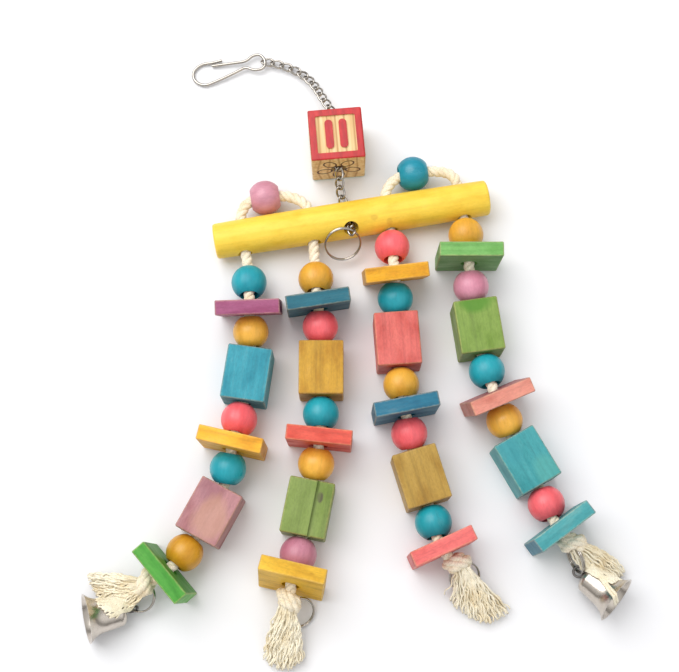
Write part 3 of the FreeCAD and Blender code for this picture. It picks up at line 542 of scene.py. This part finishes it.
def link_places(name):
    """Middle and long direction of each separate link of a CAD chain."""
    copy = frame["nodes"][name].data.copy()
    work = bmesh.new()
    work.from_mesh(copy)
    bmesh.ops.remove_doubles(work, verts=work.verts, dist=1e-6)
    seen, places = set(), []
    for start in work.verts:
        if start in seen:
            continue
        group, stack = [], [start]
        seen.add(start)
        while stack:
            vertex = stack.pop()
            group.append(vertex.co[:])
            for edge in vertex.link_edges:
                other = edge.other_vert(vertex)
                if other not in seen:
                    seen.add(other)
                    stack.append(other)
        points = np.array(group)
        middle = (points.max(axis=0) + points.min(axis=0)) / 2
        spread = np.linalg.svd(points - points.mean(axis=0), full_matrices=False)[2]
        places.append((middle, spread[0]))
    work.free()
    bpy.data.meshes.remove(copy)
    return places


def curb_chain(name):
    """All the links of one chain as one piece."""
    link = curb_link()
    copies = []
    for middle, along in link_places(name):
        copy = link.copy()
        copy.data = link.data.copy()
        bpy.context.scene.collection.objects.link(copy)
        copy.data.transform(Matrix.Translation(middle) @ turn_for(along).to_matrix().to_4x4())
        copies.append(copy)
    bpy.data.objects.remove(link)
    bpy.ops.object.select_all(action="DESELECT")
    for copy in copies:
        copy.select_set(True)
    bpy.context.view_layer.objects.active = copies[0]
    bpy.ops.object.join()
    made = bpy.context.object
    made.name = "curb_" + name
    made.data.materials.clear()
    made.data.materials.append(plate)
    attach(made, "toy")
    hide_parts(name)
    print(made.name, len(copies), "links")


curb_chain("chain_upper")
curb_chain("chain_lower")

# %% [markdown]
# The rope is cotton, laid from three strands twisted together. The CAD route gives control points
# for one smooth spline. Three thinner tubes then wind round that line, a third of a turn apart.
# The frame that carries them is moved along without twist, so the lay stays even round bends.

# %% Tubes along a line
def smooth_line(points, step):
    """Evenly spaced points on the NURBS line of a route's control points."""
    curve = bpy.data.curves.new("route", "CURVE")
    curve.dimensions = "3D"
    curve.resolution_u = 24
    spline = curve.splines.new("NURBS")
    spline.points.add(len(points) - 1)
    for target, place in zip(spline.points, points):
        target.co = (*place, 1.0)
    spline.order_u = 3
    spline.use_endpoint_u = True
    holder = bpy.data.objects.new("route", curve)
    bpy.context.scene.collection.objects.link(holder)
    mesh = bpy.data.meshes.new_from_object(holder)
    dense = np.array([vertex.co[:] for vertex in mesh.vertices])
    bpy.data.objects.remove(holder)
    bpy.data.curves.remove(curve)
    bpy.data.meshes.remove(mesh)
    return evenly(dense, step)


def evenly(dense, step):
    """Points at even spacing along a line."""
    gaps = np.linalg.norm(np.diff(dense, axis=0), axis=1)
    run = np.concatenate([[0], np.cumsum(gaps)])
    count = max(2, int(round(run[-1] / step)))
    at = np.linspace(0, run[-1], count + 1)
    return np.stack([np.interp(at, run, dense[:, k]) for k in range(3)], axis=1)


def carried_frame(line):
    """Two side directions at each point, carried along the line without twist."""
    tangents = np.gradient(line, axis=0)
    tangents /= np.linalg.norm(tangents, axis=1)[:, None]
    start = np.cross(tangents[0], (0.0, 0.0, 1.0))
    if np.linalg.norm(start) < 0.1:
        start = np.cross(tangents[0], (1.0, 0.0, 0.0))
    first = np.zeros_like(line)
    first[0] = start / np.linalg.norm(start)
    for index in range(1, len(line)):
        side = first[index - 1] - tangents[index] * np.dot(first[index - 1], tangents[index])
        first[index] = side / np.linalg.norm(side)
    return tangents, first, np.cross(tangents, first)


def wound(line, radius, pitch, phase):
    """Line that winds round another one."""
    gaps = np.linalg.norm(np.diff(line, axis=0), axis=1)
    run = np.concatenate([[0], np.cumsum(gaps)])
    tangents, first, second = carried_frame(line)
    turn = phase + 2 * math.pi * run / pitch
    reach = radius if np.ndim(radius) else np.full(len(line), radius)
    return line + (first * np.cos(turn)[:, None] + second * np.sin(turn)[:, None]) * reach[:, None]


class Yarns:
    """Collects tubes into one mesh, with a UV of turn and length on each."""

    def __init__(self):
        self.points, self.faces, self.uvs = [], [], []

    def tube(self, line, radius, sides=8):
        tangents, first, second = carried_frame(line)
        reach = radius if np.ndim(radius) else np.full(len(line), radius)
        gaps = np.linalg.norm(np.diff(line, axis=0), axis=1)
        run = np.concatenate([[0], np.cumsum(gaps)]) * 1000
        base = len(self.points)
        for k in range(len(line)):
            for s in range(sides):
                angle = 2 * math.pi * s / sides
                place = line[k] + (first[k] * math.cos(angle) + second[k] * math.sin(angle)) * reach[k]
                self.points.append(tuple(place))
        for k in range(len(line) - 1):
            for s in range(sides):
                t = (s + 1) % sides
                a, b = base + k * sides + s, base + k * sides + t
                self.faces.append((a, b, b + sides, a + sides))
                self.uvs.append(((s / sides, run[k]), ((s + 1) / sides, run[k]),
                                 ((s + 1) / sides, run[k + 1]), (s / sides, run[k + 1])))
        for k, order in ((0, -1), (len(line) - 1, 1)):
            ring = [base + k * sides + s for s in range(sides)][::order]
            self.faces.append(tuple(ring))
            self.uvs.append(tuple((0.5, run[k]) for s in ring))

    def piece(self, name, material):
        mesh = bpy.data.meshes.new(name)
        mesh.from_pydata(self.points, [], self.faces)
        layer = mesh.uv_layers.new(name="lay")
        flat = [value for face in self.uvs for pair in face for value in pair]
        layer.data.foreach_set("uv", flat)
        mesh.materials.append(material)
        mesh.polygons.foreach_set("use_smooth", [True] * len(mesh.polygons))
        mesh.update()
        made = bpy.data.objects.new(name, mesh)
        bpy.context.scene.collection.objects.link(made)
        return made


FIBRE_HEIGHT = 0.00018


def cotton(name, code):
    """Cream cotton yarn: fine fibres slanting round each tube, and a soft fuzzy sheen."""
    material, tree, shader = new_material(name)
    base = linear(code)
    uv = tree.nodes.new("ShaderNodeUVMap")
    uv.uv_map = "lay"
    slant = tree.nodes.new("ShaderNodeMapping")
    slant.inputs["Scale"].default_value = (4.0, 0.55, 1.0)
    slant.inputs["Rotation"].default_value = (0, 0, 0.35)
    join(tree, uv.outputs["UV"], slant.inputs["Vector"])
    fibres = tree.nodes.new("ShaderNodeTexNoise")
    fibres.inputs["Scale"].default_value = 3.2
    fibres.inputs["Detail"].default_value = 4.0
    join(tree, slant.outputs["Vector"], fibres.inputs["Vector"])
    place = tree.nodes.new("ShaderNodeTexCoord")
    tone = stretched_noise(tree, place.outputs["Object"], (90, 90, 90), 2.0, 0.5, 3)
    lit = ramp(tree, fibres.outputs["Fac"], [(0.32, shade(base, 0.72)), (0.5, base),
                                            (0.7, shade(base, 1.06))])
    aged = ramp(tree, tone, [(0.35, linear("#E6D6B4")), (0.6, grey(1.0))])
    join(tree, mixed(tree, 0.5, lit, mixed(tree, 1.0, lit, aged, "MULTIPLY")), shader.inputs["Base Color"])
    shader.inputs["Roughness"].default_value = 0.92
    shader.inputs["Sheen Weight"].default_value = 0.25
    shader.inputs["Sheen Roughness"].default_value = 0.6
    shader.inputs["Specular IOR Level"].default_value = 0.15
    bumped(tree, shader, fibres.outputs["Fac"], FIBRE_HEIGHT, 0.8)
    return material


rope_cotton = cotton("cotton_rope", "#F8EDD6")
# The tassel's cotton is painted lighter than the rope's: painted light that fills the shade between its loose
# yarns.
tassel_cotton = cotton("cotton_tassel", "#FFF5DD")

# %% [markdown]
# Each rope goes through two strands: up through one, over behind the bar through a bead, and down
# through the next. These are the route's points from the CAD source, in metres.

# %% Rope routes
ROPE_ROUTES = {
    "rope_left": [
        (-0.1081, -0.1284, 0.0145), (-0.1014, -0.1267, 0.0171), (-0.0954, -0.1214, 0.0174),
        (-0.0830, -0.1058, 0.0117), (-0.0692, -0.0798, 0.0117), (-0.0659, -0.0604, 0.0170),
        (-0.0641, -0.0526, 0.0171), (-0.0602, -0.0341, 0.0117), (-0.0561, -0.0050, 0.0117),
        (-0.0574, 0.0137, 0.0168), (-0.0576, 0.0214, 0.0181), (-0.0588, 0.0412, 0.0096),
        (-0.0618, 0.0561, 0.0106), (-0.0632, 0.0644, 0.0106), (-0.0643, 0.0725, 0.0108),
        (-0.0602, 0.0818, 0.0108), (-0.0408, 0.0855, 0.0108), (-0.0271, 0.0807, 0.0108),
        (-0.0250, 0.0709, 0.0106), (-0.0236, 0.0627, 0.0106), (-0.0220, 0.0433, 0.0096),
        (-0.0208, 0.0244, 0.0178), (-0.0196, 0.0166, 0.0170), (-0.0183, -0.0016, 0.0117),
        (-0.0183, -0.0310, 0.0117), (-0.0185, -0.0501, 0.0172), (-0.0194, -0.0581, 0.0170),
        (-0.0223, -0.0764, 0.0117), (-0.0279, -0.1053, 0.0117), (-0.0318, -0.1229, 0.0168),
        (-0.0336, -0.1305, 0.0181), (-0.0345, -0.1376, 0.0155)],
    "rope_right": [
        (0.0529, -0.1189, 0.0140), (0.0460, -0.1149, 0.0170), (0.0427, -0.1076, 0.0170),
        (0.0388, -0.0886, 0.0117), (0.0302, -0.0605, 0.0117), (0.0272, -0.0419, 0.0170),
        (0.0257, -0.0341, 0.0172), (0.0238, -0.0151, 0.0117), (0.0218, 0.0143, 0.0117),
        (0.0223, 0.0329, 0.0168), (0.0214, 0.0406, 0.0182), (0.0202, 0.0619, 0.0096),
        (0.0192, 0.0699, 0.0106), (0.0178, 0.0782, 0.0106), (0.0167, 0.0867, 0.0108),
        (0.0235, 0.0962, 0.0108), (0.0423, 0.0998, 0.0108), (0.0565, 0.0978, 0.0108),
        (0.0589, 0.0852, 0.0106), (0.0603, 0.0769, 0.0106), (0.0612, 0.0688, 0.0093),
        (0.0625, 0.0507, 0.0174), (0.0625, 0.0427, 0.0171), (0.0646, 0.0213, 0.0117),
        (0.0687, -0.0078, 0.0117), (0.0738, -0.0284, 0.0179), (0.0768, -0.0357, 0.0170),
        (0.0828, -0.0533, 0.0117), (0.0973, -0.0788, 0.0117), (0.1035, -0.0982, 0.0170),
        (0.1082, -0.1047, 0.0170), (0.1132, -0.1086, 0.0140)],
}
STRAND_RADIUS = 0.00160
STRAND_OFFSET = 0.00150
LAY_PITCH = 0.0125
ROPE_STEP = 0.001


def laid_rope(yarns, line):
    """Three strands wound together along a line."""
    for strand_number in range(3):
        phase = 2 * math.pi * strand_number / 3
        yarns.tube(wound(line, STRAND_OFFSET, LAY_PITCH, phase), STRAND_RADIUS, 9)

# %% [markdown]
# A stopper knot keeps the last tile on. In the real knot the rope goes round itself about twice
# before its end comes out. Here the rope line winds twice round the strand's end, and the same
# three strands follow it, so the knot shows the crossing lay of the real one.

# %% Knots
KNOTS = {
    1: {"place": (-0.1081, -0.1284, 0.0145), "along": (-0.914, -0.407, 0.0), "rope": "rope_left"},
    2: {"place": (-0.0345, -0.1376, 0.0155), "along": (-0.156, -0.988, 0.0), "rope": "rope_left"},
    3: {"place": (0.0529, -0.1189, 0.0140), "along": (0.743, -0.669, 0.0), "rope": "rope_right"},
    4: {"place": (0.1132, -0.1086, 0.0140), "along": (0.719, -0.695, 0.0), "rope": "rope_right"},
}
KNOT_COIL_RADIUS = 0.0043
KNOT_HALF = 0.0030
KNOT_TURNS = 2.15
KNOT_SLANT = 0.55
KNOT_STEP = 0.0008
KNOT_POINTS = 120


def knot_line(place, along, phase):
    """Rope line that winds about twice round a knot's middle, on a slant."""
    x = Vector(along).normalized()
    y = Vector((0, 0, 1)).cross(x).normalized()
    z = x.cross(y)
    line = []
    for step in range(KNOT_POINTS + 1):
        share = step / KNOT_POINTS
        angle = phase + share * 2 * math.pi * KNOT_TURNS
        swell = math.sin(math.pi * share) ** 0.5
        reach = KNOT_COIL_RADIUS * (0.35 + 0.65 * swell)
        shift = (share - 0.5) * 2 * KNOT_HALF + KNOT_SLANT * math.cos(angle) * reach
        line.append(Vector(place) + x * shift + (y * math.cos(angle) + z * math.sin(angle)) * reach)
    return evenly(np.array([point[:] for point in line]), KNOT_STEP)


# %% [markdown]
# Past the knot the rope is cut and combed out into yarn. Each yarn keeps the crimp of its lay,
# so it waves as it falls, and all of them sink to the table as they leave the knot.
# One yarn is a thin tube on a curve from the knot to its own tip, with a fading spiral crimp.

# %% Tassels
TASSELS = {
    1: {"tips": ((-0.1412, -0.1245), (-0.1262, -0.1462)), "bulge": 0.002, "belly": 0.10, "yarns": 140,
        "uneven": 0.16, "bell": "bell_1"},
    2: {"tips": ((-0.0465, -0.1672), (-0.0272, -0.1672)), "bulge": 0.006, "belly": 0.05, "yarns": 120,
        "uneven": 0.24, "bell": None},
    3: {"tips": ((0.0497, -0.1402), (0.0800, -0.1420)), "bulge": 0.009, "belly": -0.04, "yarns": 125,
        "uneven": 0.28, "bell": None},
    4: {"tips": ((0.1415, -0.1235), (0.1330, -0.1290)), "bulge": 0.001, "belly": 0.55, "yarns": 90,
        "uneven": 0.22, "bell": "bell_4"},
}
YARN_RADIUS = 0.00048
YARN_STEP = 0.0011
YARN_POINTS = 32
ROOT_HALF_WIDTH = 0.0034
ROOT_HALF_DEPTH = 0.0036
TIP_LAYER_DEPTH = 0.0055
TABLE_GAP = 0.0007
STRAY_SHARE = 0.12
STEEPEST = 1.3


def height_over(tree, x, y):
    """Top of a bell under a point, or nothing."""
    if tree is None:
        return None
    hit = tree.ray_cast(Vector((x, y, 0.2)), Vector((0, 0, -1)))[0]
    return hit.z if hit is not None else None


def laid_over(line, tree):
    """Lifts a yarn over what it crosses, with a slope that a limp yarn can have."""
    least = np.full(len(line), TABLE_GAP)
    for index, (x, y, z) in enumerate(line):
        top = height_over(tree, x, y)
        if top is not None:
            least[index] = top + YARN_RADIUS * 1.4
    for index in range(1, len(line)):
        least[index] = max(least[index], least[index - 1] - STEEPEST * YARN_STEP)
    for index in range(len(line) - 2, -1, -1):
        least[index] = max(least[index], least[index + 1] - STEEPEST * YARN_STEP)
    line[:, 2] = np.maximum(line[:, 2], least)
    return line


def yarn_line(rng, root, tassel, tree):
    """One combed yarn from the knot's mouth to its own tip."""
    first, last = (Vector((*tip, 0)) for tip in tassel["tips"])
    share = rng.uniform(-0.12, 1.12) if rng.random() < STRAY_SHARE else rng.random()
    side = 2 * share - 1
    flow = ((first + last) / 2 - Vector((root.x, root.y, 0))).normalized()
    tip = first.lerp(last, share) + flow * tassel["bulge"] * (1 - side * side)
    across = (last - first).normalized()
    start = root + across * (side * ROOT_HALF_WIDTH + rng.uniform(-1, 1) * 0.0008)
    start.z += rng.uniform(-ROOT_HALF_DEPTH, ROOT_HALF_DEPTH)
    reach = 1 - tassel["uneven"] * rng.random() ** 1.6
    layer = rng.random()
    target = start + (tip - start) * reach
    target.z = TABLE_GAP + layer * TIP_LAYER_DEPTH
    middle = start.lerp(target, 0.45) + across * (side * (last - first).length * tassel["belly"])
    middle.z = max(TABLE_GAP, start.z * 0.66 + target.z * 0.25 + 0.0008)
    line = []
    for step in range(YARN_POINTS + 1):
        t = step / YARN_POINTS
        line.append((start * (1 - t) ** 2 + middle * (2 * t * (1 - t)) + target * t ** 2)[:])
    line = evenly(np.array(line), YARN_STEP)
    grown = np.minimum(1, np.linspace(0, 1, len(line)) * 3)
    line = wound(line, rng.uniform(0.0002, 0.0008) * grown, rng.uniform(0.006, 0.011), rng.uniform(0, 6.28))
    sway = np.cumsum([rng.gauss(0, 0.00019) for index in range(len(line))])
    line += np.array(across[:])[None, :] * (sway * grown)[:, None]
    return laid_over(line, tree)


# %% [markdown]
# Each rope with its two knots is one piece. The tassels are separate pieces. Where a tassel lies
# over a bell, the yarns that rest on it are a piece of their own. Two loose yarns of the last tassel
# have fallen right across its bell.

# %% Lay the ropes and comb the tassels
LOOSE_YARNS = [((0.1160, -0.1115, 0.0150), (0.1250, -0.1230, 0.0300), (0.1325, -0.1400, 0.0300)),
               ((0.1166, -0.1118, 0.0152), (0.1264, -0.1232, 0.0300), (0.1336, -0.1388, 0.0300))]


def bell_surface(name):
    """Search tree of a bell's surface."""
    mesh = frame["nodes"][name].data
    return BVHTree.FromPolygons([vertex.co[:] for vertex in mesh.vertices],
                                [tuple(face.vertices) for face in mesh.polygons])


for rope_name, route in ROPE_ROUTES.items():
    yarns = Yarns()
    laid_rope(yarns, smooth_line(route, ROPE_STEP))
    for number, knot in KNOTS.items():
        if knot["rope"] == rope_name:
            laid_rope(yarns, knot_line(knot["place"], knot["along"], number * 1.7))
    rope = yarns.piece("laid_" + rope_name, rope_cotton)
    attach(rope, "toy")
    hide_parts(rope_name)
    print(rope.name, len(rope.data.polygons))
for number, tassel in TASSELS.items():
    rng = random.Random(40 + number)
    knot = KNOTS[number]
    root = Vector(knot["place"]) + Vector(knot["along"]) * 0.003
    tree = bell_surface(tassel["bell"]) if tassel["bell"] else None
    yarns, resting = Yarns(), Yarns()
    for index in range(tassel["yarns"]):
        line = yarn_line(rng, root, tassel, tree)
        on_bell = any(height_over(tree, x, y) is not None for x, y, z in line[::2])
        (resting if on_bell else yarns).tube(line, YARN_RADIUS * rng.uniform(0.8, 1.2), 5)
    for start, middle, end in LOOSE_YARNS if number == 4 else ():
        line = smooth_line((start, middle, end), YARN_STEP)
        line[:, 2] = np.linspace(line[0, 2], TABLE_GAP, len(line))
        resting.tube(laid_over(line, tree), YARN_RADIUS * 1.7, 6)
    piece = yarns.piece("tassel_%d" % number, tassel_cotton)
    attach(piece, "toy")
    print(piece.name, len(piece.data.polygons))
    if tassel["bell"]:
        piece = resting.piece("tassel_%d_on_bell" % number, tassel_cotton)
        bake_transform(piece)
        print(piece.name, len(piece.data.polygons))

# %% [markdown]
# The cube's front carries a small printed flower round its hole. A print is a film of ink, so each
# line is a very thin raised band: a circle drawn as a flattened tube, scaled to a petal.

# %% Printed flower
ink_material, ink_tree, ink_shader = new_material("ink_brown")
ink_place = ink_tree.nodes.new("ShaderNodeTexCoord")
ink_tone = stretched_noise(ink_tree, ink_place.outputs["Object"], (1500, 1500, 1500), 2.0, 0.6, 2)
join(ink_tree, ramp(ink_tree, ink_tone, [(0.35, linear("#3C1A0C")), (0.65, linear("#552A14"))]),
     ink_shader.inputs["Base Color"])
ink_shader.inputs["Roughness"].default_value = 0.6
bumped(ink_tree, ink_shader, ink_tone, 0.00004, 0.4)

PETAL_LENGTH = 0.0082
PETAL_WIDTH = 0.0062
PETAL_DISTANCE = 0.0083
INK_THICKNESS = 0.00014
LINE_SHARE = 0.13


def petal(angle):
    """Outline of a petal standing on the XZ plane, turned about the hole."""
    bpy.ops.object.select_all(action="DESELECT")
    bpy.ops.mesh.primitive_torus_add(major_segments=40, minor_segments=6, major_radius=1.0,
                                     minor_radius=LINE_SHARE, rotation=(math.pi / 2, 0, 0))
    made = bpy.context.object
    bpy.ops.object.transform_apply(rotation=True)
    bpy.ops.object.mode_set(mode="EDIT")
    bpy.ops.mesh.select_all(action="SELECT")
    bpy.ops.transform.resize(value=(PETAL_LENGTH / 2, INK_THICKNESS / (2 * LINE_SHARE), PETAL_WIDTH / 2))
    bpy.ops.transform.translate(value=(PETAL_DISTANCE, 0, 0))
    bpy.ops.object.mode_set(mode="OBJECT")
    made.data.transform(Matrix.Rotation(angle, 4, "Y"))
    return made


petals = [petal(math.radians(angle)) for angle in (18, 90, 162, 234, 306)]
bpy.ops.object.select_all(action="DESELECT")
for made in petals:
    made.select_set(True)
bpy.context.view_layer.objects.active = petals[0]
bpy.ops.object.join()
flower = bpy.context.object
flower.name = "letter_block_print"
front = Vector(cube_middle) + Vector(cube_along) * CUBE_HALF
print_turn = Matrix.Rotation(math.atan2(cube_along[0], -cube_along[1]), 4, "Z")
flower.data.transform(Matrix.Translation(front) @ print_turn)
flower.data.materials.clear()
flower.data.materials.append(ink_material)
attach(flower, "letter_block")
print(flower.name, len(flower.data.polygons))

# %% [markdown]
# A pale table and two broad round lights give the photograph's clean, nearly shadowless look.
# The metal needs something to mirror, so the sky is darker near the horizon. What the camera sees
# past the table is plain and pale, which the light path node picks apart from reflections.

# %% Table and lights
bpy.ops.object.select_all(action="DESELECT")
bpy.ops.mesh.primitive_plane_add(size=6, location=(0, 0, -0.0002))
table = bpy.context.object
table.name = "table"
table_material, table_tree, table_shader = new_material("white_table")
table_shader.inputs["Base Color"].default_value = linear("#EDEDEF")
table_shader.inputs["Roughness"].default_value = 0.75
table.data.materials.append(table_material)


def soft_light(name, place, target, size, watts):
    """Round area light that faces its target."""
    data = bpy.data.lights.new(name, "AREA")
    data.shape = "DISK"
    data.size = size
    data.energy = watts
    light = bpy.data.objects.new(name, data)
    light.location = place
    light.rotation_euler = (Vector(target) - Vector(place)).to_track_quat("-Z", "Y").to_euler()
    bpy.context.scene.collection.objects.link(light)


soft_light("key", (-0.6, 0.5, 1.3), (0, 0, 0), 1.5, 19.0)
soft_light("fill", (0.9, -0.4, 1.2), (0, 0, 0), 1.5, 2.0)
print("lights", [light.name for light in bpy.data.lights])
world = bpy.data.worlds.new("studio")
world.use_nodes = True
bpy.context.scene.world = world
background = world.node_tree.nodes["Background"]
sky_place = world.node_tree.nodes.new("ShaderNodeTexCoord")
sky_split = world.node_tree.nodes.new("ShaderNodeSeparateXYZ")
join(world.node_tree, sky_place.outputs["Generated"], sky_split.inputs["Vector"])
sky = ramp(world.node_tree, sky_split.outputs["Z"],
           [(0.0, linear("#4A4643")), (0.16, linear("#7A7672")), (0.34, grey(0.9)), (0.8, grey(1.0))])
seen = world.node_tree.nodes.new("ShaderNodeLightPath")
backdrop = mixed(world.node_tree, seen.outputs["Is Camera Ray"], sky, grey(1.1))
join(world.node_tree, backdrop, background.inputs["Color"])
background.inputs["Strength"].default_value = 0.74
